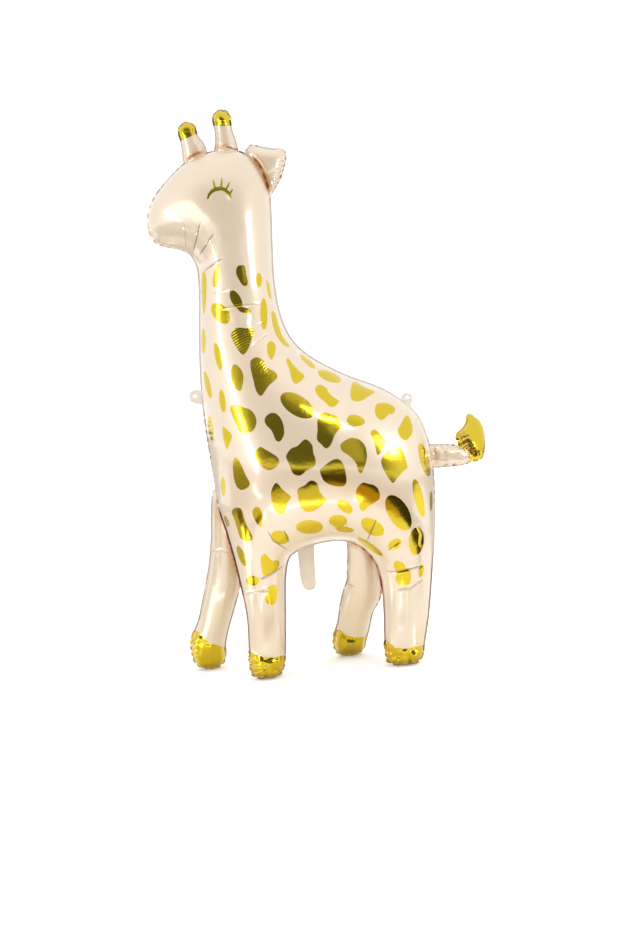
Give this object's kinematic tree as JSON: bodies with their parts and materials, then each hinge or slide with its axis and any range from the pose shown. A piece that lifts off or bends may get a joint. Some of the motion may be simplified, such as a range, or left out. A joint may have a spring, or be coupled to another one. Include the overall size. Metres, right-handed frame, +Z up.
{
  "type": "foil balloon animal",
  "caption": "Foil balloon in the shape of a standing giraffe, with a sealed seam all round, hanging tabs, a filling valve and splayed legs with flat soles.",
  "frame": {"origin": "centre of the bounding box in plan, at the height of the soles", "axes": "+Z up, +X towards the tail, -Y towards the near side of the giraffe"},
  "size_m": [0.5208, 0.2218, 0.921],
  "materials": {
    "pale_foil": "pale pearl foil film, glossy, with gold printed spots, hooves, horn tips and tuft"
  },
  "bodies": {
    "root": {"giraffe_balloon": "pale_foil"}
  },
  "joints": []
}
